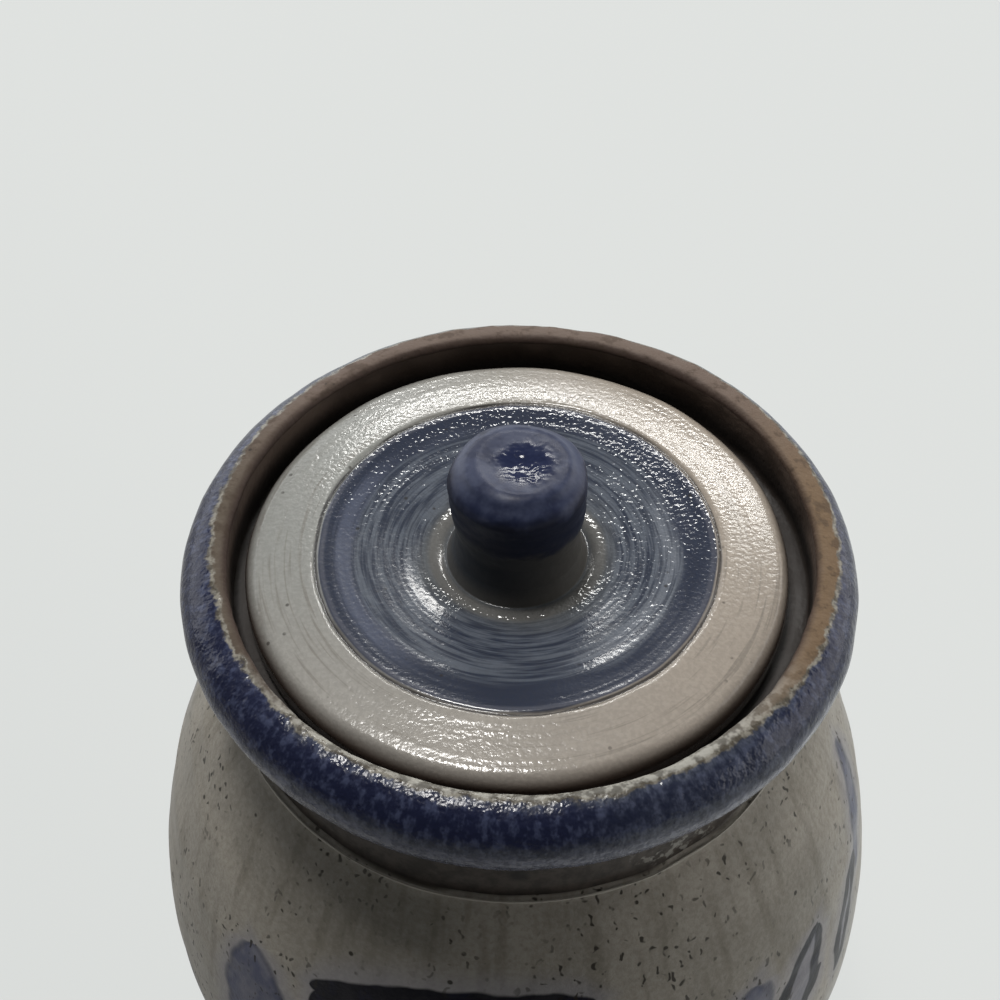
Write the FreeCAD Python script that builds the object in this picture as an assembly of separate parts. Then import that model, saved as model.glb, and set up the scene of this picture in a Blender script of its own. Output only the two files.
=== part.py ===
import FreeCAD, Part
import math
import os
from FreeCAD import Vector

os.makedirs("parts", exist_ok=True)

# A thrown stoneware spice jar with a loose lid. Lengths are in millimetres.
# The jar stands on its foot at z = 0, with its axis on Z. Every outline below is
# a list of edges in the XZ plane, with x as the radius, and is turned once round Z.

# Mouth: the ring in which the lid lies, and the seat that carries the lid.
mouth_radius = 34.0
seat_width = 5.2
seat_depth = 7.2          # from the crest of the collar down to the seat

# Collar: the thick rounded ring round the mouth.
collar_thickness = 6.0    # from the mouth to the outermost point
collar_height = 10.4
crest_width = 1.0         # from the mouth to the highest ring of the collar
crest_drop = 1.3          # how far down the rounded inner edge reaches

# Neck: the short recess between the collar and the shoulder.
neck_wall = 6.4
neck_length = 10.4
neck_hollow = 0.5         # how far the neck is drawn in at half its length

# Shoulder ring: the small raised edge at the foot of the neck.
ring_width = 0.8
ring_height = 0.8

# Body: the belly and the foot.
belly_radius = 50.0
belly_height = 48.5
shoulder_height = 96.4    # height of the shoulder ring above the foot
foot_radius = 34.0
foot_rounding = 1.8
body_wall = 4.8
floor_thickness = 5.5
floor_rounding = 7.0

# Lid: a nearly flat disc, highest at its incised line, with a knob in one piece.
lid_gap = 1.65            # all round, between the lid and the mouth
lid_thickness = 5.0       # at the rounded edge
lid_top_rounding = 2.3
lid_bottom_rounding = 1.5
line_radius = 23.7        # the incised line between the plain edge and the blue band
line_rise = 0.4           # height of the lid at the line above its edge
line_width = 0.7
line_depth = 0.35
dish_depth = 1.3          # how far the lid dips from the line to the knob

# Knob: a stubby column with a slight waist and a soft, hardly dished top.
knob_radius = 7.8
knob_waist_radius = 7.5
knob_flare = 0.8          # how far the root spreads beyond the waist
knob_height = 15.9        # from the lid at its root to the top
knob_widest_height = 10.9
knob_waist_height = 4.0
knob_top_radius = 6.0
knob_top_drop = 1.1       # how far the edge of the top lies below the highest ring
knob_ring_radius = 3.9
knob_dimple_depth = 0.35

# Places that follow from the sizes above.
seat_radius = mouth_radius - seat_width
neck_radius = seat_radius + neck_wall
shoulder_radius = neck_radius + ring_width
collar_radius = mouth_radius + collar_thickness
crest_radius = mouth_radius + crest_width
lid_radius = mouth_radius - lid_gap
collar_bottom = shoulder_height + neck_length
collar_middle = collar_bottom + collar_height / 2
crest_height = collar_bottom + collar_height
seat_height = crest_height - seat_depth
bore_bottom = shoulder_height - ring_height


def at(radius, height):
    return Vector(radius, 0, height)


def line(start, end):
    return Part.makeLine(start, end)


def arc(start, middle, end):
    return Part.Arc(start, middle, end).toShape()


def curve(points, start_direction, end_direction):
    """A smooth curve through the points that leaves and ends in the directions given."""
    spline = Part.BSplineCurve()
    spline.interpolate(Points=points, InitialTangent=start_direction, FinalTangent=end_direction)
    return spline.toShape()


def belly_arc(widest, height, end_radius, end_height):
    """An arc that leaves the widest point of the belly upright and ends where asked."""
    inward = widest - end_radius
    rise = end_height - height
    radius = (inward ** 2 + rise ** 2) / (2 * inward)
    half_turn = math.asin(rise / radius) / 2
    middle = at(widest - radius * (1 - math.cos(half_turn)), height + radius * math.sin(half_turn))
    return arc(at(widest, height), middle, at(end_radius, end_height))


def quarter_round(start, end, corner_radius, corner_height):
    """A quarter turn from start to end that rounds off the corner between them."""
    share = 1 - math.sqrt(0.5)
    radius = corner_radius + (start.x + end.x - 2 * corner_radius) * share
    height = corner_height + (start.z + end.z - 2 * corner_height) * share
    return arc(start, at(radius, height), end)


def turn(edges):
    """Turn a closed outline once round the Z axis."""
    wire = Part.Wire(Part.__sortEdges__(edges))
    solid = Part.Face(wire).revolve(Vector(0, 0, 0), Vector(0, 0, 1), 360)
    return Part.Solid(solid) if solid.ShapeType != "Solid" else solid


def outside_edges():
    """Foot, belly, shoulder ring, neck and the outside of the collar."""
    foot_start = at(foot_radius - foot_rounding, 0)
    foot_end = at(foot_radius, foot_rounding)
    ring_foot = at(shoulder_radius, shoulder_height - ring_height)
    ring_top = at(shoulder_radius, shoulder_height)
    neck_foot = at(neck_radius, shoulder_height)
    neck_middle = at(neck_radius - neck_hollow, shoulder_height + neck_length / 2)
    neck_top = at(neck_radius, collar_bottom)
    return [
        line(at(0, 0), foot_start),
        quarter_round(foot_start, foot_end, foot_radius, 0),
        belly_arc(belly_radius, belly_height, foot_radius, foot_rounding),
        belly_arc(belly_radius, belly_height, shoulder_radius, shoulder_height - ring_height),
        line(ring_foot, ring_top),
        line(ring_top, neck_foot),
        arc(neck_foot, neck_middle, neck_top),
        arc(neck_top, at(collar_radius, collar_middle), at(crest_radius, crest_height)),
    ]


def inside_edges():
    """The crest's inner face, the lid's seat, the bore of the neck and the hollow."""
    crest_end = at(mouth_radius, crest_height - crest_drop)
    hollow_radius = belly_radius - body_wall
    floor_radius = foot_radius - body_wall
    floor_end = at(floor_radius - floor_rounding, floor_thickness)
    hollow_start = at(floor_radius, floor_thickness + floor_rounding)
    return [
        quarter_round(at(crest_radius, crest_height), crest_end, mouth_radius, crest_height),
        line(crest_end, at(mouth_radius, seat_height)),
        line(at(mouth_radius, seat_height), at(seat_radius, seat_height)),
        line(at(seat_radius, seat_height), at(seat_radius, bore_bottom)),
        belly_arc(hollow_radius, belly_height, seat_radius, bore_bottom),
        belly_arc(hollow_radius, belly_height, floor_radius, floor_thickness + floor_rounding),
        quarter_round(hollow_start, floor_end, floor_radius, floor_thickness),
        line(floor_end, at(0, floor_thickness)),
        line(at(0, floor_thickness), at(0, 0)),
    ]


def lid_edges():
    """The disc of the lid, from the middle of its underside out to the knob's root."""
    top = seat_height + lid_thickness
    line_height = top + line_rise
    root_height = line_height - dish_depth
    root_radius = knob_waist_radius + knob_flare
    underside_end = at(lid_radius - lid_bottom_rounding, seat_height)
    edge_start = at(lid_radius, seat_height + lid_bottom_rounding)
    edge_end = at(lid_radius, top - lid_top_rounding)
    rim_end = at(lid_radius - lid_top_rounding, top)
    groove = [at(line_radius + line_width / 2, line_height), at(line_radius, line_height - line_depth),
              at(line_radius - line_width / 2, line_height)]
    slope_middle = at((rim_end.x + groove[0].x) / 2, (top + line_height) / 2 + line_rise / 8)
    dish_middle = at((groove[2].x + root_radius) / 2, root_height + dish_depth / 3)
    return [
        line(at(0, seat_height), underside_end),
        quarter_round(underside_end, edge_start, lid_radius, seat_height),
        line(edge_start, edge_end),
        quarter_round(edge_end, rim_end, lid_radius, top),
        arc(rim_end, slope_middle, groove[0]),
        line(groove[0], groove[1]),
        line(groove[1], groove[2]),
        arc(groove[2], dish_middle, at(root_radius, root_height)),
    ]


def knob_edges():
    """The knob, from its root up over the top and back down the axis."""
    root_height = seat_height + lid_thickness + line_rise - dish_depth
    top = root_height + knob_height
    waist = at(knob_waist_radius, root_height + knob_waist_height)
    widest = at(knob_radius, root_height + knob_widest_height)
    top_edge = at(knob_top_radius, top - knob_top_drop)
    ring = at(knob_ring_radius, top)
    dimple = at(0, top - knob_dimple_depth)
    upward = Vector(0, 0, 1)
    inward = Vector(-1, 0, 0)
    root = at(knob_waist_radius + knob_flare, root_height)
    return [
        curve([root, waist, widest, top_edge, ring], upward, inward),
        curve([ring, dimple], inward, inward),
        line(dimple, at(0, seat_height)),
    ]


def report(name, shape):
    volume = round(shape.Volume / 1000, 1)
    print(name, "solids", len(shape.Solids), "valid", shape.isValid(), "cm3", volume)


parts = {
    "jar": turn(outside_edges() + inside_edges()),
    "lid": turn(lid_edges() + knob_edges()),
}
for name, shape in parts.items():
    report(name, shape)
    shape.exportStep("parts/" + name + ".step")
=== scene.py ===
import bpy
import math
from mathutils import Matrix, Vector, noise


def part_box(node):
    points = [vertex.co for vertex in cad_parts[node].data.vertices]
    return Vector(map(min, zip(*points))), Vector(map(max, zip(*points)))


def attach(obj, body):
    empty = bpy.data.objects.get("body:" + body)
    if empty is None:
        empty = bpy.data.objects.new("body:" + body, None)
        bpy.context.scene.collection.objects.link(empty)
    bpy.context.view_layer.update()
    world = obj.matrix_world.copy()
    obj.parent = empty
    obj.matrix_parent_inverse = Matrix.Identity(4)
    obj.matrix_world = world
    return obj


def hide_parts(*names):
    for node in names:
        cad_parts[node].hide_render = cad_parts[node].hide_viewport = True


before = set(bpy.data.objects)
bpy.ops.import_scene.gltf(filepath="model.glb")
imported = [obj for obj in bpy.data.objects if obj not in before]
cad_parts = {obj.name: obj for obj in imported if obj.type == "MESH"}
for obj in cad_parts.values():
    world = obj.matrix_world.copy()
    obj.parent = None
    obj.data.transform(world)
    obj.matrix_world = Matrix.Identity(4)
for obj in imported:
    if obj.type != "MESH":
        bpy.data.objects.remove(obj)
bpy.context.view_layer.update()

# ---------------------------------------------------------------- sizes
# Lengths are in millimetres until a mesh is made. The pot and the lid repeat the
# outlines of their CAD solids, with the relief of the thrown clay added.
MM = 0.001
SEGMENTS = 384

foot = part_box("jar")[0].z / MM
crest_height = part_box("jar")[1].z / MM
belly_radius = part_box("jar")[1].x / MM
lid_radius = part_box("lid")[1].x / MM
seat_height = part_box("lid")[0].z / MM

belly_height = 48.5
foot_radius = 34.0
foot_rounding = 1.8
shoulder_height = 96.4
shoulder_radius = 36.0
ring_height = 0.8
neck_radius = 35.2
neck_hollow = 0.5
collar_radius = 40.0
collar_height = 10.4
crest_radius = 35.0
crest_drop = 1.3
mouth_radius = 34.0
seat_radius = 28.8
body_wall = 4.8
floor_thickness = 5.5
floor_rounding = 7.0
collar_middle = crest_height - collar_height / 2
painted_radius = belly_radius * 0.94

lid_thickness = 5.0
lid_top_rounding = 2.3
lid_bottom_rounding = 1.5
line_radius = 23.7
line_rise = 0.4
line_width = 0.7
line_depth = 0.35
dish_depth = 1.3
knob_radius = 7.8
knob_waist_radius = 7.5
knob_flare = 0.8
knob_height = 15.9
knob_widest_height = 10.9
knob_waist_height = 4.0
knob_top_radius = 6.0
knob_top_drop = 1.1
lid_top = seat_height + lid_thickness
root_height = lid_top + line_rise - dish_depth
knob_top = root_height + knob_height

# The clay is a little off centre at the collar, as hand-thrown pots are. The pot's
# relief is drawn in by this much, so that its lumps stay inside the CAD shape's box.
collar_shift = 0.35
pot_draw_in = 0.27

# Where the lid's clay leaves the CAD outline: a falling edge, a flatter dish and a
# small ridge round the knob's root, which lies inside the dish.
edge_fall = 0.30
edge_fall_width = 11.5
dish_flattening = 0.75
ridge_radius = 9.4
ridge_width = 0.7
ridge_height = 0.22

# The knob is pinched in at its waist and pressed flat on top by a thumb.
pinch_depth = 0.4
pinch_height = 5.2
pinch_width = 2.4
top_lowering = 0.32
print_place = (0.8, 0.1)
print_radius = 2.6
print_depth = 0.3
print_rim_radius = 5.2
print_rim_height = 0.12

# The ground in front of the jar, and more so to its left, is the dim side of the
# room: its share of light falls from 1 to floor_dimness between these places, which
# are in metres, and reflections show that share raised to the power mirror_falling.
floor_slant = 1.8
floor_dim_place = -0.20
floor_pale_place = 0.06
floor_dimness = 0.72
mirror_falling = 9.0
floor_seen_share = 0.85
paper_colour = (0.52, 0.52, 0.51)

# The room itself shines faintly. Its strength goes from dim to bright as the direction
# looked in turns from the front to the back: these are two values of its Y.
room_dim, room_bright = 0.05, 0.22
room_front, room_back = -0.5, 0.4

# The camera that was fitted to the photograph: metres, degrees and millimetres.
camera_place = (-0.00197, -0.1211, 0.2587)
camera_look_down = 48.17
camera_roll = -0.31
camera_lens = 57.6
camera_sensor = 36.0


# ---------------------------------------------------------------- outlines
def line_points(start, end, step):
    """Points from start up to, but without, the end."""
    count = max(1, round(math.dist(start, end) / step))
    return [(start[0] + (end[0] - start[0]) * i / count, start[1] + (end[1] - start[1]) * i / count)
            for i in range(count)]


def arc_points(start, middle, end, step):
    """Points on the circle through three points, without the end."""
    (ax, ay), (bx, by), (cx, cy) = start, middle, end
    twice = 2 * (ax * (by - cy) + bx * (cy - ay) + cx * (ay - by))
    a2, b2, c2 = ax * ax + ay * ay, bx * bx + by * by, cx * cx + cy * cy
    ox = (a2 * (by - cy) + b2 * (cy - ay) + c2 * (ay - by)) / twice
    oy = (a2 * (cx - bx) + b2 * (ax - cx) + c2 * (bx - ax)) / twice
    radius = math.dist((ox, oy), start)
    first = math.atan2(ay - oy, ax - ox)
    turn = (math.atan2(cy - oy, cx - ox) - first) % math.tau
    halfway = (math.atan2(by - oy, bx - ox) - first) % math.tau
    if halfway > turn:
        turn -= math.tau
    count = max(2, round(abs(turn) * radius / step))
    angles = [first + turn * i / count for i in range(count)]
    return [(ox + radius * math.cos(angle), oy + radius * math.sin(angle)) for angle in angles]


def round_points(start, end, corner, step):
    """A quarter turn that rounds off the corner between start and end."""
    share = 1 - math.sqrt(0.5)
    middle = (corner[0] + (start[0] + end[0] - 2 * corner[0]) * share,
              corner[1] + (start[1] + end[1] - 2 * corner[1]) * share)
    return arc_points(start, middle, end, step)


def belly_points(start, end, widest, step):
    """The arc between two points, one of which is the upright widest point of the belly."""
    other = end if start == widest else start
    inward = widest[0] - other[0]
    rise = other[1] - widest[1]
    radius = (inward ** 2 + rise ** 2) / (2 * inward)
    half = math.asin(rise / radius) / 2
    middle = (widest[0] - radius * (1 - math.cos(half)), widest[1] + radius * math.sin(half))
    return arc_points(start, middle, end, step)


def spline_points(points, step):
    """A Catmull-Rom curve through the points, without the last one."""
    ends = [points[0]] + points + [points[-1]]
    result = []
    for p0, p1, p2, p3 in zip(ends, ends[1:], ends[2:], ends[3:]):
        count = max(1, round(math.dist(p1, p2) / step))
        for i in range(count):
            t = i / count
            result.append(tuple(
                0.5 * (2 * b + (c - a) * t + (2 * a - 5 * b + 4 * c - d) * t * t
                       + (3 * b - 3 * c + d - a) * t ** 3)
                for a, b, c, d in zip(p0, p1, p2, p3)))
    return result


def jar_sections():
    """(material, points) from the middle of the foot, up outside, over the collar and down inside."""
    widest = (belly_radius, belly_height)
    foot_edge = (foot_radius - foot_rounding, foot)
    foot_side = (foot_radius, foot + foot_rounding)
    ring_foot = (shoulder_radius, shoulder_height - ring_height)
    ring_top = (shoulder_radius, shoulder_height)
    neck_foot = (neck_radius, shoulder_height)
    neck_top = (neck_radius, crest_height - collar_height)
    neck_middle = (neck_radius - neck_hollow, (neck_foot[1] + neck_top[1]) / 2)
    crest = (crest_radius, crest_height)
    crest_end = (mouth_radius, crest_height - crest_drop)
    seat_corner = (mouth_radius, seat_height)
    seat_edge = (seat_radius, seat_height)
    bore_end = (seat_radius, shoulder_height - ring_height)
    hollow = (belly_radius - body_wall, belly_height)
    floor_radius = foot_radius - body_wall
    floor_side = (floor_radius, foot + floor_thickness + floor_rounding)
    floor_edge = (floor_radius - floor_rounding, foot + floor_thickness)
    body = (
        line_points((0, foot), foot_edge, 5)
        + round_points(foot_edge, foot_side, (foot_radius, foot), 0.5)
        + belly_points(foot_side, widest, widest, 0.95)
        + belly_points(widest, ring_foot, widest, 0.85)
        + line_points(ring_foot, ring_top, 0.2)
        + line_points(ring_top, neck_foot, 0.2)
    )
    collar = (
        arc_points(neck_foot, neck_middle, neck_top, 0.45)
        + arc_points(neck_top, (collar_radius, collar_middle), crest, 0.4)
        + round_points(crest, crest_end, (mouth_radius, crest_height), 0.25)
    )
    inside = (
        line_points(crest_end, seat_corner, 0.5)
        + line_points(seat_corner, seat_edge, 1.3)
        + line_points(seat_edge, bore_end, 2.5)
        + belly_points(bore_end, hollow, hollow, 4)
        + belly_points(hollow, floor_side, hollow, 4)
        + round_points(floor_side, floor_edge, (floor_radius, foot + floor_thickness), 2.5)
        + line_points(floor_edge, (0, foot + floor_thickness), 6)
        + [(0, foot + floor_thickness)]
    )
    return [(0, body), (1, collar), (2, inside)]


def lid_sections():
    """(material, points) from the middle of the underside, round the edge and up over the knob."""
    line_height = lid_top + line_rise
    under = (lid_radius - lid_bottom_rounding, seat_height)
    side_low = (lid_radius, seat_height + lid_bottom_rounding)
    side_high = (lid_radius, lid_top - lid_top_rounding)
    rim = (lid_radius - lid_top_rounding, lid_top)
    outer_lip = (line_radius + line_width / 2, line_height)
    inner_lip = (line_radius - line_width / 2, line_height)
    root = (knob_waist_radius + knob_flare, root_height)
    slope = ((rim[0] + outer_lip[0]) / 2, (lid_top + line_height) / 2 + line_rise / 8)
    dish = ((inner_lip[0] + root[0]) / 2, root_height + dish_depth / 3)
    column = [
        root,
        (knob_waist_radius + 0.1, root_height + knob_waist_height * 0.45),
        (knob_waist_radius, root_height + knob_waist_height),
        (knob_radius, root_height + knob_widest_height),
        (knob_radius - 0.05, root_height + knob_widest_height + 2.3),
        (knob_top_radius + 0.7, knob_top - knob_top_drop),
        (knob_top_radius - 1.0, knob_top - 0.2),
        (0, knob_top - 0.3),
    ]
    plate = (
        line_points((0, seat_height), under, 5)
        + round_points(under, side_low, (lid_radius, seat_height), 0.4)
        + line_points(side_low, side_high, 0.4)
        + round_points(side_high, rim, (lid_radius, lid_top), 0.3)
        + arc_points(rim, slope, outer_lip, 0.28)
        + line_points(outer_lip, inner_lip, 0.12)
        + arc_points(inner_lip, dish, root, 0.28)
    )
    return [(0, plate), (1, spline_points(column, 0.3) + [column[-1]])]


# ---------------------------------------------------------------- relief
def smoothstep(low, high, value):
    t = min(1.0, max(0.0, (value - low) / (high - low)))
    return t * t * (3 - 2 * t)


def wave(radius, height, angle, around, along, seed):
    """Smooth noise on a turned surface: around per turn, along per millimetre of outline."""
    return noise.noise(Vector((math.cos(angle) * around + seed, math.sin(angle) * around,
                               (height + radius) * along)))


def jar_relief(radius, height, angle):
    """(push outward along the normal, shift along X) of a point of the pot, in millimetres."""
    outside = radius > mouth_radius - 0.2 or height < 1
    if not outside:
        return 0.0, 0.0
    on_collar = smoothstep(shoulder_height + 3, collar_middle - 3, height)
    on_body = 1 - smoothstep(shoulder_height - 3, shoulder_height, height)
    low = wave(0, height, angle, 0.9, 0.03, 3.0) * 0.35
    rings = wave(0, height, angle, 0.25, 0.24, 11.0) * 0.18
    lumps = wave(radius, height, angle, 7.0, 0.22, 23.0) * 0.15
    fine = wave(radius, height, angle, 2.2, 1.6, 31.0) * 0.06
    body = (low + rings + fine + lumps * 0.3) * on_body * smoothstep(0, 3, height)
    near_ring = 1 - smoothstep(0.3, 1.6, abs(height - shoulder_height))
    ring = (wave(0, 0, angle, 5.0, 0, 41.0) * 0.3 - 0.1) * near_ring
    collar = (lumps + fine + wave(0, 0, angle, 1.4, 0, 47.0) * 0.3) * on_collar
    near_crest = smoothstep(collar_middle, crest_height, height)
    crumbs = wave(radius, height, angle, 26.0, 0.8, 53.0) * 0.08 * near_crest
    return body + ring + collar + crumbs - pot_draw_in, collar_shift * on_collar


def knob_relief(radius, height, angle):
    """The knob is pinched by hand: a little lopsided, with a thumb print on top."""
    rise = smoothstep(root_height + 2, root_height + 6, height)
    x, y = radius * math.sin(angle), -radius * math.cos(angle)
    lumps = noise.noise(Vector((x * 0.14 + 5, y * 0.14, height * 0.12))) * 0.4
    off_print = math.dist((x, y), print_place)
    on_top = smoothstep(knob_top - 2.2, knob_top - 0.9, height)
    thumb_print = math.exp(-(off_print / print_radius) ** 2) * print_depth * on_top
    toward_left_front = 0.5 + 0.5 * math.cos(angle + 0.5)
    print_rim = math.exp(-((off_print - print_rim_radius) / 0.7) ** 2) * print_rim_height
    ridge = print_rim * on_top * toward_left_front
    rings = wave(radius, height, angle, 0.5, 0.9, 5.0) * 0.08
    pinch = pinch_depth * math.exp(-((height - root_height - pinch_height) / pinch_width) ** 2)
    return (lumps + rings) * rise - pinch - top_lowering * on_top - thumb_print + ridge, 0.05 * rise


def lid_relief(radius, height, angle):
    """(push outward along the normal, shift along X) of a point of the lid, in millimetres."""
    if height < seat_height + 0.6:
        return 0.0, 0.0
    if height > root_height + 2.0 and radius < knob_radius + 1:
        return knob_relief(radius, height, angle)
    wobble = wave(0, 0, angle, 2.4, 0, 61.0) * 0.28 + wave(0, 0, angle, 9.0, 0, 67.0) * 0.10
    off_line = abs(radius + wobble - line_radius)
    depth = 0.75 + 0.5 * wave(0, 0, angle, 3.0, 0, 71.0)
    groove = -line_depth * depth * (1 - smoothstep(0.05, line_width * 0.6, off_line))
    fall = -edge_fall * smoothstep(lid_radius - edge_fall_width, lid_radius + 0.5, radius) ** 1.5
    outer = smoothstep(line_radius + 1, line_radius + 2, radius)
    fine = wave(radius, 0, angle, 1.3, 2.2, 73.0) * 0.022
    fine += wave(radius, 0, angle, 2.6, 4.5, 79.0) * 0.010
    rings = wave(radius, 0, angle, 0.5, 0.36, 83.0) * 0.16
    near_edge = smoothstep(lid_radius - 3.0, lid_radius - 0.5, radius)
    edge = near_edge * wave(0, height, angle, 3.0, 0.4, 89.0) * 0.18
    ripple = (rings * 0.8 + fine * 1.3) * (1 - outer) + (rings * 0.3 + fine) * outer
    flare = smoothstep(knob_waist_radius, knob_waist_radius + 3, radius)
    dish_start = knob_waist_radius + knob_flare
    dish_end = line_radius - line_width / 2
    across = min(max((radius - dish_start) / (dish_end - dish_start), 0.0), 1.0)
    rounder = 1 - (1 - across) ** 1.6 - across * (1 + 2 * across) / 3
    flatter = dish_flattening * dish_depth * rounder
    ridge = ridge_height * math.exp(-((radius - ridge_radius) / ridge_width) ** 2)
    return groove + fall + flatter + ripple * flare + edge + ridge, 0.0


def turned_mesh(name, sections, relief, materials):
    """A closed mesh of an outline turned round Z, with relief, as a new object in metres."""
    outline = [point for _, points in sections for point in points]
    wearing = [number for number, points in sections for _ in points]
    inner = outline[1:-1]
    vertices = [(0, 0, outline[0][1] * MM)]
    for index, (radius, height) in enumerate(inner):
        before, after = outline[index], outline[index + 2]
        along = Vector((after[0] - before[0], after[1] - before[1])).normalized()
        for segment in range(SEGMENTS):
            angle = math.tau * segment / SEGMENTS
            push, shift = relief(radius, height, angle)
            r = radius + along.y * push
            z = height - along.x * push
            vertices.append(((r * math.sin(angle) + shift) * MM, -r * math.cos(angle) * MM, z * MM))
    vertices.append((0, 0, (outline[-1][1] + relief(0.01, outline[-1][1], 0)[0]) * MM))
    last = len(vertices) - 1
    top = last - SEGMENTS
    faces, numbers = [], []
    for segment in range(SEGMENTS):
        following = (segment + 1) % SEGMENTS
        faces += [(0, 1 + following, 1 + segment), (last, top + segment, top + following)]
        numbers += [wearing[0], wearing[-1]]
    for row in range(len(inner) - 1):
        low = 1 + row * SEGMENTS
        high = low + SEGMENTS
        for segment in range(SEGMENTS):
            following = (segment + 1) % SEGMENTS
            faces.append((low + segment, low + following, high + following, high + segment))
            numbers.append(wearing[row + 1])
    mesh = bpy.data.meshes.new(name)
    mesh.from_pydata(vertices, [], faces)
    for material in materials:
        mesh.materials.append(material)
    mesh.polygons.foreach_set("material_index", numbers)
    mesh.polygons.foreach_set("use_smooth", [True] * len(faces))
    mesh.update()
    piece = bpy.data.objects.new(name, mesh)
    bpy.context.scene.collection.objects.link(piece)
    return piece


# ---------------------------------------------------------------- material kit
def tone(red, green, blue):
    """A linear colour from the usual 0 to 255 values."""
    def linear(value):
        value /= 255
        return value / 12.92 if value <= 0.04045 else ((value + 0.055) / 1.055) ** 2.4
    return (linear(red), linear(green), linear(blue), 1.0)


class Nodes:
    """A new material's nodes. Every argument is a number, a colour or another node's output."""

    def __init__(self, name):
        self.material = bpy.data.materials.new(name)
        self.material.use_nodes = True
        self.tree = self.material.node_tree
        self.tree.nodes.clear()
        self.output = self.tree.nodes.new("ShaderNodeOutputMaterial")

    def put(self, socket, value):
        if isinstance(value, bpy.types.NodeSocket):
            self.tree.links.new(value, socket)
        else:
            socket.default_value = value

    def math(self, operation, first, second=0.0, third=0.0):
        node = self.tree.nodes.new("ShaderNodeMath")
        node.operation = operation
        for socket, value in zip(node.inputs, (first, second, third)):
            self.put(socket, value)
        return node.outputs[0]

    def add(self, first, second):
        return self.math("ADD", first, second)

    def times(self, first, second):
        return self.math("MULTIPLY", first, second)

    def less(self, first, second):
        return self.math("SUBTRACT", first, second)

    def length(self, first, second):
        return self.math("SQRT", self.add(self.times(first, first), self.times(second, second)))

    def vector(self, operation, first, second):
        node = self.tree.nodes.new("ShaderNodeVectorMath")
        node.operation = operation
        self.put(node.inputs[0], first)
        self.put(node.inputs[3 if operation == "SCALE" else 1], second)
        return node.outputs[0]

    def split(self, vector):
        node = self.tree.nodes.new("ShaderNodeSeparateXYZ")
        self.put(node.inputs[0], vector)
        return node.outputs

    def join(self, x, y, z):
        node = self.tree.nodes.new("ShaderNodeCombineXYZ")
        for socket, value in zip(node.inputs, (x, y, z)):
            self.put(socket, value)
        return node.outputs[0]

    def step(self, value, low, high, start=0.0, end=1.0):
        """A smooth change from start to end as the value goes from low to high."""
        node = self.tree.nodes.new("ShaderNodeMapRange")
        node.interpolation_type = "SMOOTHSTEP"
        for socket, number in zip(node.inputs, (value, low, high, start, end)):
            self.put(socket, number)
        return node.outputs[0]

    def peak(self, value, centre, inner, outer):
        """1 within inner of the centre and 0 beyond outer."""
        return self.step(self.math("ABSOLUTE", self.less(value, centre)), inner, outer, 1.0, 0.0)

    def noise(self, vector, scale, detail=0.0, roughness=0.5, output="Fac"):
        node = self.tree.nodes.new("ShaderNodeTexNoise")
        self.put(node.inputs["Vector"], vector)
        for key, value in (("Scale", scale), ("Detail", detail), ("Roughness", roughness)):
            self.put(node.inputs[key], value)
        return node.outputs[output]

    def wander(self, vector, scale, amount, detail=1.0):
        """Noise about zero, up to about half the amount either way."""
        return self.times(self.less(self.noise(vector, scale, detail), 0.5), amount)

    def specks(self, vector, scale, size, crowd):
        """Scattered spots: size in cells, and only where the noise called crowd is high."""
        node = self.tree.nodes.new("ShaderNodeTexVoronoi")
        self.put(node.inputs["Vector"], vector)
        self.put(node.inputs["Scale"], scale)
        return self.times(self.step(node.outputs["Distance"], size, size * 0.5), crowd)

    def mix(self, share, first, second):
        node = self.tree.nodes.new("ShaderNodeMix")
        node.data_type = "RGBA"
        self.put(node.inputs[0], share)
        self.put(node.inputs[6], first)
        self.put(node.inputs[7], second)
        return node.outputs[2]


class Shader(Nodes):
    """The nodes of a glaze, with each point's place in millimetres: x, y, z, radius and angle."""

    def __init__(self, name, shift=0.0):
        super().__init__(name)
        self.surface = self.tree.nodes.new("ShaderNodeBsdfPrincipled")
        self.tree.links.new(self.surface.outputs[0], self.output.inputs["Surface"])
        place = self.tree.nodes.new("ShaderNodeTexCoord").outputs["Object"]
        self.point = self.vector("SCALE", place, 1 / MM)
        if shift:
            self.point = self.vector("SUBTRACT", self.point, (shift, 0, 0))
        self.x, self.y, self.z = self.split(self.point)
        self.radius = self.length(self.x, self.y)
        self.angle = self.math("ARCTAN2", self.x, self.math("MULTIPLY", self.y, -1))

    def around(self, turns, lines):
        """A vector for noise in rings: it changes turns times round the pot and lines per millimetre."""
        share = self.math("DIVIDE", turns, self.radius)
        return self.join(self.times(self.x, share), self.times(self.y, share),
                         self.times(self.add(self.radius, self.z), lines))

    def finish(self, colour, roughness, height, depth, specular=0.5):
        """Sets the surface: colour, roughness and a bump whose height is times depth millimetres."""
        bump = self.tree.nodes.new("ShaderNodeBump")
        self.put(bump.inputs["Height"], height)
        bump.inputs["Distance"].default_value = depth * MM
        self.tree.links.new(bump.outputs[0], self.surface.inputs["Normal"])
        self.put(self.surface.inputs["Base Color"], colour)
        self.put(self.surface.inputs["Roughness"], roughness)
        self.surface.inputs["Specular IOR Level"].default_value = specular
        return self.material


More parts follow.
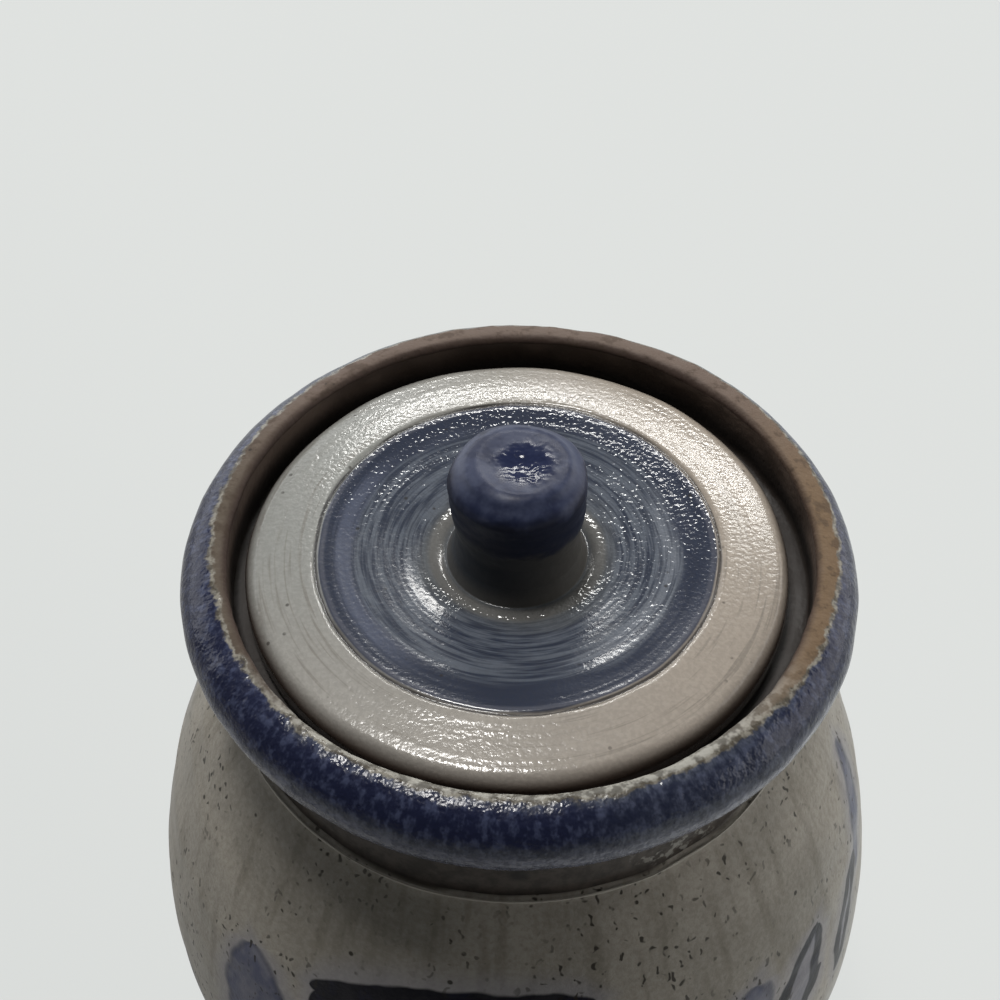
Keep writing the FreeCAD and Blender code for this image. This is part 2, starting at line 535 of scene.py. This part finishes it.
# ---------------------------------------------------------------- the lid
def plate_material():
    """Grey edge, slate band inside the incised line, and brushed blue rings round the knob."""
    s = Shader("Lid glaze")
    streaks = s.noise(s.around(2.0, 2.0), 1.0, 2.0, 0.65)
    broad = s.noise(s.around(1.2, 0.42), 1.0, 1.0)
    grey = s.mix(s.step(s.x, -22.0, 24.0), tone(148, 149, 145), tone(162, 152, 140))
    grey = s.mix(s.step(s.y, 4.0, -30.0, 0.0, 0.5), grey, tone(160, 152, 143))
    grey = s.mix(s.step(streaks, 0.53, 0.68, 0.0, 0.45), grey, tone(112, 106, 98))

    brushed = s.mix(s.step(streaks, 0.36, 0.64), tone(50, 56, 70), tone(92, 98, 108))
    near_knob = s.step(s.add(s.radius, s.times(broad, 4.0)), 15.5, 11.5, 0.0, 0.7)
    brushed = s.mix(near_knob, brushed, tone(88, 90, 90))
    pale_right = s.times(s.peak(s.radius, 18.0, 0.3, 2.2), s.peak(s.angle, 1.15, 0.5, 1.1))
    pale_right = s.times(pale_right, s.step(streaks, 0.3, 0.6, 0.2, 0.8))
    brushed = s.mix(pale_right, brushed, tone(116, 121, 130))
    band = s.step(s.add(s.radius, s.times(s.less(broad, 0.5), 4.0)), 18.9, 20.0)
    slate = s.mix(s.step(broad, 0.4, 0.7), tone(44, 50, 66), tone(52, 58, 74))
    blue = s.mix(band, brushed, slate)
    pale_ring = s.peak(s.add(s.radius, s.times(streaks, 1.5)), 21.2, 0.3, 1.6)
    pale_left = s.times(pale_ring, s.peak(s.angle, -1.45, 0.5, 1.0))
    blue = s.mix(s.times(pale_left, 0.65), blue, tone(92, 98, 116))

    line = s.add(s.radius, s.wander(s.around(2.6, 0.0), 1.0, 0.6))
    colour = s.mix(s.step(line, line_radius - 0.5, line_radius - 0.15), blue, grey)
    colour = s.mix(s.times(s.peak(line, line_radius - 0.75, 0.1, 0.5), 0.15), colour, tone(150, 150, 158))
    colour = s.mix(s.times(s.peak(line, line_radius, 0.08, 0.32), 0.85), colour, tone(40, 38, 40))
    # Painted highlight: a paler ring on the small ridge round the knob's root.
    colour = s.mix(s.times(s.peak(s.radius, 9.6, 0.4, 1.3), 0.7), colour, tone(108, 106, 102))
    edge = s.step(s.radius, lid_radius - 3.2, lid_radius - 0.9)
    edge = s.times(edge, s.step(s.z, lid_top, lid_top - 1.8, 0.0, 0.95))
    colour = s.mix(edge, colour, tone(62, 50, 43))

    grains = s.noise(s.point, 1.9, 1.0, 0.55)
    crowd = s.step(s.noise(s.point, 0.2), 0.54, 0.66, 0.0, 0.7)
    spots = s.specks(s.point, 0.45, 0.14, crowd)
    colour = s.mix(spots, colour, tone(44, 40, 36))
    colour = s.mix(s.step(grains, 0.36, 0.7, 0.12, 0.0), colour, tone(60, 58, 56))
    # The salt's orange peel is coarse at the back, to the right and in front of the knob's root.
    salted_right = s.times(s.step(s.x, 6.0, 14.0), s.step(s.y, -16.0, 2.0, 0.0, 0.7))
    salted_root = s.times(s.peak(s.radius, 10.2, 0.8, 1.8), s.step(s.y, -3.0, -7.0, 0.0, 2.0))
    salted = s.add(s.add(s.step(s.y, -1.0, 9.0, 0.5, 1.3), salted_right), salted_root)
    beyond_line = s.step(line, line_radius - 0.4, line_radius)
    salted = s.add(s.times(salted, s.less(1.0, beyond_line)), s.times(beyond_line, 0.95))
    height = s.times(s.add(grains, s.times(streaks, 0.08)), salted)
    roughness = s.add(s.step(broad, 0.35, 0.65, 0.08, 0.13), s.times(beyond_line, 0.08))
    roughness = s.add(roughness, s.step(salted, 0.5, 1.0, 0.07, 0.0))
    return s.finish(colour, roughness, height, 0.048)


def knob_material():
    """Cobalt run over the top of the knob, milky with painted sheen on the back of its edge, dark in the
    thumb print, darker down its sides with painted shade, and with its stem in painted shade.
    """
    s = Shader("Knob glaze")
    marbled = s.noise(s.point, 0.34, 3.0, 0.6)
    off_print = s.length(s.less(s.x, 0.9), s.y)
    cobalt = s.mix(s.step(marbled, 0.36, 0.64), tone(32, 38, 62), tone(58, 64, 86))
    # Painted sheen: the pale edge of the top, only at its back, stands in for the window's reflection
    # there.
    milky = s.peak(s.add(s.radius, s.times(marbled, 2.4)), 7.6, 0.2, 1.1)
    milky = s.times(milky, s.step(s.z, knob_top - 3.0, knob_top - 1.6))
    cobalt = s.mix(s.times(milky, s.step(s.y, -6.0, 1.0, 0.0, 0.5)), cobalt, tone(84, 90, 110))
    in_print = s.step(s.add(off_print, s.times(marbled, 2.0)), 5.0, 3.2, 0.0, 0.7)
    cobalt = s.mix(in_print, cobalt, tone(32, 38, 66))
    sag = s.add(s.z, s.add(s.wander(s.point, 0.3, 6.0), s.wander(s.point, 0.9, 1.6)))
    # The cobalt runs darker down the head's sides; part of that darkening is painted shade of those
    # sides.
    cobalt = s.mix(s.step(sag, knob_top - 1.4, knob_top - 3.4, 0.0, 0.9), cobalt, tone(22, 26, 44))
    # Painted shade: the stem is painted dark, and darker on its left, for the shadow under the head.
    shaded_stem = s.mix(s.step(s.x, -7.0, 7.0), tone(48, 52, 58), tone(74, 72, 68))
    colour = s.mix(s.step(sag, knob_top - 8.8, knob_top - 6.8), shaded_stem, cobalt)
    colour = s.mix(s.step(s.z, root_height + 2.4, root_height + 0.4, 0.0, 0.6), colour, tone(84, 82, 78))
    worms = s.noise(s.point, 0.9, 1.0, 0.5)
    ragged_print = s.add(off_print, s.times(s.less(marbled, 0.5), 3.0))
    pooled = s.times(s.step(ragged_print, 4.4, 2.0), s.step(s.z, knob_top - 2.0, knob_top - 1.0))
    height = s.times(worms, s.math("MULTIPLY_ADD", pooled, 0.75, 0.25))
    return s.finish(colour, s.math("MULTIPLY_ADD", pooled, -0.28, 0.40), height, 0.20, 0.22)


# ---------------------------------------------------------------- the pot
# Leaves and strokes of the painted sprays: degrees from the front and height of base
# and tip, then width, bend and taper. The sprays cover half the pot and come twice.
WASHES = [
    ((-31, 46), (-47.0, 76.8), 14.5, 1.0, 0.0),
    ((26, 48), (40.0, 74.2), 11.5, 1.0, 0.0),
    ((72, 66), (80, 85), 5.0, -1.0, 0.0),
    ((-20, 58), (-10, 75), 8.0, 1.0, 0.0),
]
OUTLINED_LEAVES = [
    ((39, 52), (55, 72.6), 8.0, 1.2, 0.0),
    ((60, 56), (72.0, 70.0), 4.6, 1.6, 0.0),
    ((-8, 34), (-32, 50), 8.0, 1.5, 0.0),
    ((8, 32), (34, 47), 8.0, -1.5, 0.0),
    ((-54, 36), (-70, 52), 6.5, 1.0, 0.0),
    ((52, 30), (68, 46), 6.0, -1.2, 0.0),
]
STROKES = [
    ((-34.0, 78.1), (12, 83.2), 6.2, 1.2, 0.3),
    ((-31.0, 80.0), (-24, 58), 5.0, -2.4, 0.3),
    ((-24, 62), (4, 22), 3.2, 4.0, 0.5),
    ((49.0, 61.5), (54.0, 64.6), 2.8, 0.2, 0.0),
    ((-2, 30), (-48, 28), 2.2, 4.0, 0.4),
    ((2, 28), (50, 26), 2.2, -4.0, 0.4),
]


def inside_leaf(s, u, v, base, tip, width, bend, taper):
    """How far a point is inside a leaf from base to tip, in millimetres; negative outside."""
    per_degree = math.radians(painted_radius)
    start, end = (base[0] * per_degree, base[1]), (tip[0] * per_degree, tip[1])
    length = math.dist(start, end)
    along_u, along_v = (end[0] - start[0]) / length, (end[1] - start[1]) / length
    du, dv = s.less(u, start[0]), s.less(v, start[1])
    along = s.math("MULTIPLY_ADD", du, along_u / length, s.times(dv, along_v / length))
    across = s.math("MULTIPLY_ADD", dv, along_u, s.times(du, -along_v))
    held = s.math("MINIMUM", s.math("MAXIMUM", along, 0.0), 1.0)
    swell = s.times(held, s.less(4.0, s.times(held, 4.0)))
    side = s.math("ABSOLUTE", s.less(across, s.times(swell, bend)))
    half = s.times(s.math("SQRT", swell), s.less(width / 2, s.times(held, taper * width / 2)))
    beyond = s.times(s.math("ABSOLUTE", s.less(along, held)), length)
    return s.less(s.less(half, side), beyond)


def painted_sprays(s):
    """(dark line, pale wash, halo) masks of the cobalt leaf sprays round the belly."""
    folded = s.math("WRAP", s.angle, math.pi / 2, -math.pi / 2)
    shake_x, shake_y, _ = s.split(s.noise(s.point, 0.22, 1.0, 0.6, "Color"))
    u = s.math("MULTIPLY_ADD", shake_x, 2.4, s.math("MULTIPLY_ADD", folded, painted_radius, -1.2))
    v = s.math("MULTIPLY_ADD", shake_y, 1.2, s.less(s.z, 0.6))
    line, wash, nearest = 0.0, 0.0, -50.0
    for shape in WASHES:
        depth = inside_leaf(s, u, v, *shape)
        wash = s.math("MAXIMUM", wash, s.step(depth, -0.6, 1.0))
        line = s.math("MAXIMUM", line, s.times(s.peak(depth, 0.5, 0.1, 1.1), 0.3))
        nearest = s.math("MAXIMUM", nearest, depth)
    for shape in OUTLINED_LEAVES:
        depth = inside_leaf(s, u, v, *shape)
        line = s.math("MAXIMUM", line, s.peak(depth, 0.7, 0.75, 1.3))
        wash = s.math("MAXIMUM", wash, s.step(depth, 0.0, 0.6, 0.0, 0.5))
        nearest = s.math("MAXIMUM", nearest, depth)
    for shape in STROKES:
        depth = inside_leaf(s, u, v, *shape)
        line = s.math("MAXIMUM", line, s.step(depth, -0.2, 0.3))
        nearest = s.math("MAXIMUM", nearest, depth)
    return line, wash, s.step(nearest, -4.5, 0.3)


def body_material():
    """Olive grey salt glaze, pitted and streaked, with cobalt leaf sprays under it."""
    s = Shader("Body glaze")
    runs = s.noise(s.join(s.times(s.angle, 16.0), s.times(s.z, 0.06), 3.0), 1.0, 2.0, 0.6)
    clouds = s.noise(s.point, 0.05, 2.0)
    grit = s.noise(s.point, 1.3, 2.0, 0.7)
    colour = s.mix(s.step(clouds, 0.36, 0.64), tone(146, 141, 131), tone(164, 158, 147))
    colour = s.mix(s.step(runs, 0.46, 0.7, 0.0, 0.4), colour, tone(104, 98, 84))
    colour = s.mix(s.step(grit, 0.36, 0.6, 0.2, 0.0), colour, tone(92, 86, 74))
    colour = s.mix(s.step(grit, 0.56, 0.7, 0.0, 0.12), colour, tone(176, 172, 164))

    line, wash, halo = painted_sprays(s)
    pooled = s.noise(s.point, 0.3, 2.0, 0.6)
    colour = s.mix(s.times(halo, 0.45), colour, tone(142, 143, 156))
    colour = s.mix(s.times(wash, s.step(pooled, 0.35, 0.65, 0.65, 0.95)), colour, tone(76, 81, 105))
    cobalt = s.mix(s.step(pooled, 0.5, 0.75), tone(6, 6, 19), tone(14, 16, 38))
    colour = s.mix(s.times(line, s.step(pooled, 0.3, 0.5, 0.97, 1.0)), colour, cobalt)

    patches = s.step(s.noise(s.point, 0.07, 1.0), 0.40, 0.58, 0.15, 1.0)
    stretched = s.vector("MULTIPLY", s.point, (1.0, 1.0, 0.5))
    jagged = s.vector("ADD", stretched, s.vector("SCALE", s.noise(s.point, 0.9, 0.0, 0.5, "Color"), 1.3))
    pits = s.specks(jagged, 0.82, 0.29, patches)
    dots = s.specks(s.point, 0.3, 0.13, s.step(pooled, 0.42, 0.56))
    marks = s.math("MAXIMUM", pits, dots)
    colour = s.mix(s.times(marks, 0.9), colour, tone(34, 28, 20))
    # The ring's top is as dark as the neck: darker clay, with painted shade of the recess under the
    # collar.
    above_ring = s.step(s.z, shoulder_height - 0.3, shoulder_height - 0.1)
    colour = s.mix(above_ring, colour, tone(74, 68, 60))
    on_ring = s.peak(s.z, shoulder_height - 0.2, 0.15, 0.45)
    on_ring = s.times(on_ring, s.step(s.radius, shoulder_radius - 0.6, shoulder_radius - 0.3, 0.0, 0.8))
    colour = s.mix(on_ring, colour, tone(186, 181, 170))
    height = s.add(s.times(grit, 0.8), s.times(runs, 0.4))
    return s.finish(colour, s.step(clouds, 0.35, 0.65, 0.28, 0.4), height, 0.075, 0.15)


def collar_material():
    """Dark neck, partly painted shade, blue roll with milky wisps and painted reflections, and a brown
    crest that turns ash grey at the front and darkens into painted shade inside.
    """
    s = Shader("Collar glaze", collar_shift)
    rise, out = s.less(s.z, collar_middle), s.less(s.radius, crest_radius - 0.2)
    section = s.times(s.math("ARCTAN2", rise, out), math.degrees(1.0))
    ragged = s.noise(s.point, 0.5, 3.0, 0.65)
    turn = s.add(section, s.times(s.less(ragged, 0.5), 26.0))
    to_front = s.math("DIVIDE", s.times(s.y, -1.0), s.radius)
    to_right = s.math("DIVIDE", s.x, s.radius)
    # The brown of the crest begins at this angle of the roll's section: more of it shows at the back.
    crest_start = s.add(s.math("MULTIPLY_ADD", to_front, 14.0, 66.0), s.times(to_right, -8.0))
    above = s.less(turn, crest_start)

    wisps = s.noise(s.join(s.times(s.angle, 40.0), s.times(section, 0.055), 0.0), 1.0, 2.0, 0.65)
    curls = s.noise(s.point, 0.85, 2.0, 0.6)
    veins = s.add(s.times(wisps, 0.65), s.times(curls, 0.35))
    navy = s.mix(s.step(veins, 0.46, 0.66), tone(29, 33, 56), tone(62, 68, 92))
    faded = s.mix(s.step(veins, 0.38, 0.62), tone(44, 49, 62), tone(78, 83, 97))
    # Paler toward the crest is the glaze's own fading; paler at the roll's foot is a painted reflection
    # of the ground.
    fading_and_painted_light = s.add(s.step(above, -12.0, 0.0, 0.0, 0.6), s.step(turn, 34.0, 12.0))
    fading_and_painted_light = s.add(fading_and_painted_light, s.step(to_front, 0.5, -0.4, 0.0, 0.2))
    # Painted shade: the sides of the roll are darker, against the walls' sheen.
    fading_and_painted_light = s.add(fading_and_painted_light, s.step(s.math("ABSOLUTE", to_right), 0.6, 0.85, 0.0, -0.55))
    # Painted reflection: the blue is paler at the front right.
    painted_reflection_front_right = s.times(s.step(to_right, 0.05, 0.4), s.step(to_front, 0.2, 0.7, 0.0, 0.5))
    fading_and_painted_light = s.add(fading_and_painted_light, painted_reflection_front_right)
    blue = s.mix(s.math("MAXIMUM", s.math("MINIMUM", fading_and_painted_light, 0.9), 0.0), navy, faded)
    # Painted reflection of the pale ground: the foot of the roll is paler at the front.
    painted_ground_reflection = s.times(s.step(turn, 20.0, 2.0), s.step(to_front, 0.2, 0.7, 0.0, 0.6))
    blue = s.mix(painted_ground_reflection, blue, s.mix(s.step(curls, 0.4, 0.6), tone(84, 88, 108), tone(124, 128, 146)))

    tan = s.mix(s.step(s.x, -30.0, 32.0), tone(84, 74, 62), tone(108, 88, 66))
    tan = s.mix(s.step(to_front, -0.1, -0.8), tan, tone(100, 86, 77))
    # Where the crest turns down inside, the brown darkens: darker glaze, with painted shade of the inner
    # wall.
    tan = s.mix(s.step(section, 84.0, 100.0), tan, tone(62, 48, 42))
    tan = s.mix(s.step(ragged, 0.52, 0.64, 0.0, 0.5), tan, tone(64, 52, 42))
    ash = s.mix(s.step(curls, 0.4, 0.6), tone(90, 87, 80), tone(152, 150, 142))
    crest = s.mix(s.step(to_front, 0.45, 0.85), tan, ash)
    crumbs = s.mix(s.step(curls, 0.42, 0.6), tone(80, 75, 66), tone(132, 128, 118))
    colour = s.mix(s.step(above, -2.0, 3.0), blue, crumbs)
    colour = s.mix(s.step(above, 4.0, 8.0), colour, crest)

    # The neck is darker clay, painted darker still as shade of the recess under the roll.
    neck = s.mix(s.step(ragged, 0.35, 0.65), tone(71, 63, 56), tone(55, 49, 44))
    smudge = s.length(s.times(s.add(s.angle, 0.01), neck_radius), s.less(s.z, shoulder_height + 3.6))
    neck = s.mix(s.step(smudge, 1.6, 0.5, 0.0, 0.85), neck, tone(26, 23, 20))
    off_patch = s.times(s.less(s.angle, 0.56), neck_radius * 0.45)
    beside = s.length(off_patch, s.less(s.z, shoulder_height + 2.8))
    crystals = s.times(s.step(s.add(beside, s.times(ragged, 2.0)), 4.4, 3.4), s.step(curls, 0.5, 0.62))
    neck = s.mix(s.times(crystals, 0.75), neck, tone(160, 158, 150))
    roll_edge = s.add(s.z, s.wander(s.point, 0.5, 0.5))
    collar_foot = crest_height - collar_height
    colour = s.mix(s.step(roll_edge, collar_foot + 0.1, collar_foot + 0.9), neck, colour)
    # Painted reflection: a thin pale line along the foot of the roll.
    painted_edge_reflection = s.times(s.peak(roll_edge, collar_foot + 1.0, 0.1, 0.6), 0.3)
    colour = s.mix(painted_edge_reflection, colour, tone(150, 150, 148))

    spots = s.specks(s.point, 0.5, 0.16, s.step(ragged, 0.5, 0.6, 0.0, 0.8))
    colour = s.mix(s.times(spots, s.step(above, -4.0, 6.0, 0.25, 1.0)), colour, tone(30, 25, 20))
    dull = s.times(s.step(above, 2.0, 9.0), s.step(to_front, 0.9, 0.3, 0.25, 0.5))
    on_roll = s.step(s.z, collar_foot, collar_foot + 1.0)
    height = s.times(s.add(s.noise(s.point, 1.6, 1.0), s.times(wisps, 0.35)), s.add(on_roll, 0.3))
    roughness = s.add(s.step(ragged, 0.35, 0.65, 0.16, 0.28), s.step(on_roll, 0.0, 1.0, 0.3, 0.0))
    return s.finish(colour, s.add(roughness, dull), height, 0.08, 0.3)


def inside_material():
    """Thin brown glaze, which the salt hardly reached, darkened with painted shade deep down by the lid's
    seat.
    """
    s = Shader("Inside glaze")
    clouds = s.noise(s.point, 0.12, 2.0)
    grit = s.noise(s.point, 1.2, 1.0)
    colour = s.mix(s.step(clouds, 0.35, 0.65), tone(62, 50, 42), tone(84, 70, 60))
    # Painted shade: the glaze is darker deep down, near the lid's seat.
    colour = s.mix(s.step(s.z, seat_height + 5.0, seat_height + 1.5), colour, tone(40, 34, 30))
    return s.finish(colour, s.step(clouds, 0.35, 0.65, 0.5, 0.65), grit, 0.08)


# ---------------------------------------------------------------- pieces
def add_pieces():
    glazes = [body_material(), collar_material(), inside_material()]
    pot = turned_mesh("pot", jar_sections(), jar_relief, glazes)
    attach(pot, "root")
    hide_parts("jar")
    lid = turned_mesh("lid_with_knob", lid_sections(), lid_relief, [plate_material(), knob_material()])
    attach(lid, "root")
    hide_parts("lid")


# ---------------------------------------------------------------- stage
def add_floor():
    """A pale seamless ground, which the camera sees as an even off-white with the jar's shadow.

    Only the ground behind the jar and to its right is as pale as that in reflections. In
    front and to the left it lights the jar less, and its reflection is nearly plain paper."""
    bpy.ops.mesh.primitive_plane_add(size=6.0, location=(0, 1.2, 0))
    floor = bpy.context.object
    floor.name = "floor"
    n = Nodes("Pale paper")
    x, y, _ = n.split(n.tree.nodes.new("ShaderNodeNewGeometry").outputs["Position"])
    slanted = n.math("MULTIPLY_ADD", x, floor_slant, y)
    light = n.step(slanted, floor_dim_place, floor_pale_place, floor_dimness, 1.0)
    paper = n.tree.nodes.new("ShaderNodeBsdfDiffuse")
    n.put(paper.inputs["Color"], n.vector("SCALE", paper_colour, light))
    seen = n.tree.nodes.new("ShaderNodeEmission")
    n.put(seen.inputs["Color"], tone(226, 229, 227))
    path = n.tree.nodes.new("ShaderNodeLightPath")
    mirrored = n.times(path.outputs["Is Glossy Ray"], n.math("POWER", light, mirror_falling))
    sight = n.math("MAXIMUM", path.outputs["Is Camera Ray"], mirrored)
    mix = n.tree.nodes.new("ShaderNodeMixShader")
    shown = n.times(sight, floor_seen_share)
    for socket, value in zip(mix.inputs, (shown, paper.outputs[0], seen.outputs[0])):
        n.put(socket, value)
    n.put(n.output.inputs["Surface"], mix.outputs[0])
    floor.data.materials.append(n.material)


def add_light(name, place, width, height, power, colour):
    """An area light that looks at the collar."""
    data = bpy.data.lights.new(name, "AREA")
    data.shape = "RECTANGLE"
    data.size, data.size_y = width, height
    data.energy = power
    data.color = colour
    light = bpy.data.objects.new(name, data)
    light.location = place
    target = Vector((0, 0, collar_middle * MM))
    light.rotation_euler = (target - Vector(place)).to_track_quat("-Z", "Y").to_euler()
    bpy.context.scene.collection.objects.link(light)


def add_lights():
    """A window behind the jar, a lamp overhead, pale walls beside it and a dim room in front."""
    add_light("window", (0.14, 0.80, 0.76), 0.70, 0.07, 4.8, (1.0, 0.99, 0.96))
    add_light("lamp", (-0.13, 0.10, 1.02), 0.20, 0.16, 4.8, (1.0, 0.98, 0.95))
    add_light("left_wall", (-0.72, 0.80, 0.36), 1.5, 0.8, 5.8, (0.97, 0.98, 1.0))
    add_light("right_wall", (1.0, 0.18, 0.36), 1.5, 0.8, 6.4, (1.0, 0.98, 0.96))
    world = bpy.data.worlds.new("Room")
    world.use_nodes = True
    nodes, links = world.node_tree.nodes, world.node_tree.links
    toward = nodes.new("ShaderNodeSeparateXYZ")
    links.new(nodes.new("ShaderNodeTexCoord").outputs["Generated"], toward.inputs[0])
    fade = nodes.new("ShaderNodeMapRange")
    for socket, value in zip(list(fade.inputs)[1:5], (room_front, room_back, room_dim, room_bright)):
        socket.default_value = value
    links.new(toward.outputs["Y"], fade.inputs[0])
    background = nodes["Background"]
    background.inputs["Color"].default_value = (0.92, 0.96, 1.0, 1)
    links.new(fade.outputs[0], background.inputs["Strength"])
    bpy.context.scene.world = world


def add_camera():
    """From in front and above, close to the lid, as one looks down at a jar in the hand."""
    data = bpy.data.cameras.new("camera")
    data.sensor_width = camera_sensor
    data.lens = camera_lens
    data.clip_start = 0.01
    camera = bpy.data.objects.new("camera", data)
    look_down = math.radians(camera_look_down)
    roll = math.radians(camera_roll)
    turn = Matrix.Rotation(math.pi / 2 - look_down, 4, "X") @ Matrix.Rotation(roll, 4, "Z")
    camera.matrix_world = Matrix.Translation(camera_place) @ turn
    bpy.context.scene.collection.objects.link(camera)
    bpy.context.scene.camera = camera


add_camera()
add_pieces()
add_floor()
add_lights()
bpy.context.scene.view_settings.view_transform = "Standard"
